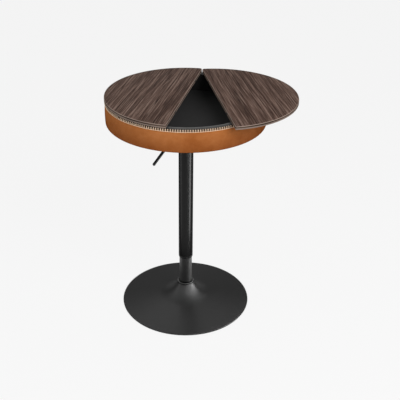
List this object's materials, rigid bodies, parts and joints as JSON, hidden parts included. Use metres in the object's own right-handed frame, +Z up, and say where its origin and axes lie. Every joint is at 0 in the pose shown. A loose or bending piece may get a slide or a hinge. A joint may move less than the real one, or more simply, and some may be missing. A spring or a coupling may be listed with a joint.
{
  "type": "height-adjustable bar table",
  "caption": "Round bar table on a gas-lift column: a leather-wrapped storage drum under swinging wood panels, a trumpet base and a release lever.",
  "frame": {"origin": "on the column's axis, at floor level", "axes": "+Z up along the column; -Y is the front, where the panels open; +X is to the right of someone in front of it"},
  "size_m": [0.712, 0.5996, 0.905],
  "materials": {
    "black_metal": "satin black powder coat",
    "cast_iron": "as cast, painted",
    "rubber": "matte",
    "steel": "zinc plated",
    "nylon": "natural nylon",
    "black_plastic": "matte black",
    "board": "bare birch plywood",
    "black_board": "black-stained board",
    "panel_wood": "dark grey-brown grained laminate, satin",
    "leather": "caramel leather with a stitched top hem",
    "lining": "black felt"
  },
  "bodies": {
    "base": {"base_shell": "black_metal", "ballast_plate": "cast_iron", "foot_ring": "rubber", "column_tube": "black_metal", "column_end_plate": "steel", "base_bolt": "steel", "base_washer": "steel", "neck_collar": "black_plastic", "guide_bush": "nylon", "spring_seat_plate": "steel", "bearing_lower_race": "steel", "bearing_balls": "steel"},
    "rod": {"piston_rod": "steel", "bearing_upper_race": "steel", "rod_clip": "steel", "bump_stop": "rubber", "piston": "steel"},
    "top": {"gas_cylinder": "black_metal", "rod_seal": "rubber", "mounting_plate": "black_metal", "lever_housing": "black_metal", "lever_pin": "steel", "plate_bolts": "steel", "tee_nuts": "steel", "cover_sleeve": "black_metal", "sleeve_hanger": "black_plastic", "sleeve_end_ring": "black_plastic", "drum_floor": "black_board", "floor_screws": "steel", "drum_wall": "board", "leather_wrap": "leather", "rim_ring": "black_plastic", "floor_lining": "lining", "wall_lining": "lining", "panel_glides": "black_plastic", "pivot_bushes": "nylon"},
    "lever": {"release_lever": "black_metal", "lever_grip": "black_plastic"},
    "valve": {"valve_pin": "steel"},
    "left_leaf": {"left_panel": "panel_wood", "left_edge_band": "panel_wood", "left_pivot_pin": "steel", "left_lock_nut": "steel", "left_stop_peg": "rubber", "left_seam_bumpers": "rubber"},
    "right_leaf": {"right_panel": "panel_wood", "right_edge_band": "panel_wood", "right_pivot_pin": "steel", "right_lock_nut": "steel", "right_stop_peg": "rubber", "right_seam_bumpers": "rubber"}
  },
  "joints": [
    {"name": "top_swivel", "type": "hinge", "parent": "base", "child": "rod", "pos_m": [0, 0, 0.27], "axis": [0, 0, 1], "continuous": true},
    {"name": "height_slide", "type": "slide", "parent": "rod", "child": "top", "axis": [0, 0, 1], "range_m": [-0.115, 0.095]},
    {"name": "left_panel_swing", "type": "hinge", "parent": "top", "child": "left_leaf", "pos_m": [0.04383, 0.28313, 0.893], "axis": [0, 0, -1], "range_deg": [0, 35]},
    {"name": "right_panel_swing", "type": "hinge", "parent": "top", "child": "right_leaf", "pos_m": [0.07125, 0.2775, 0.893], "axis": [0, 0, 1], "range_deg": [-22.6, 12.4]},
    {"name": "lever_lift", "type": "hinge", "parent": "top", "child": "lever", "pos_m": [-0.01411, -0.01942, 0.783], "axis": [-0.809, 0.5878, 0], "range_deg": [0, 7], "stiffness_Nm_per_rad": 2, "springref_deg": -17.19},
    {"name": "valve_press", "type": "slide", "parent": "top", "child": "valve", "axis": [0, 0, -1], "range_m": [0, 0.0036]}
  ],
  "couplings": [
    {"joint": "valve_press", "follows": "lever_lift", "m_per_rad": 0.026}
  ]
}
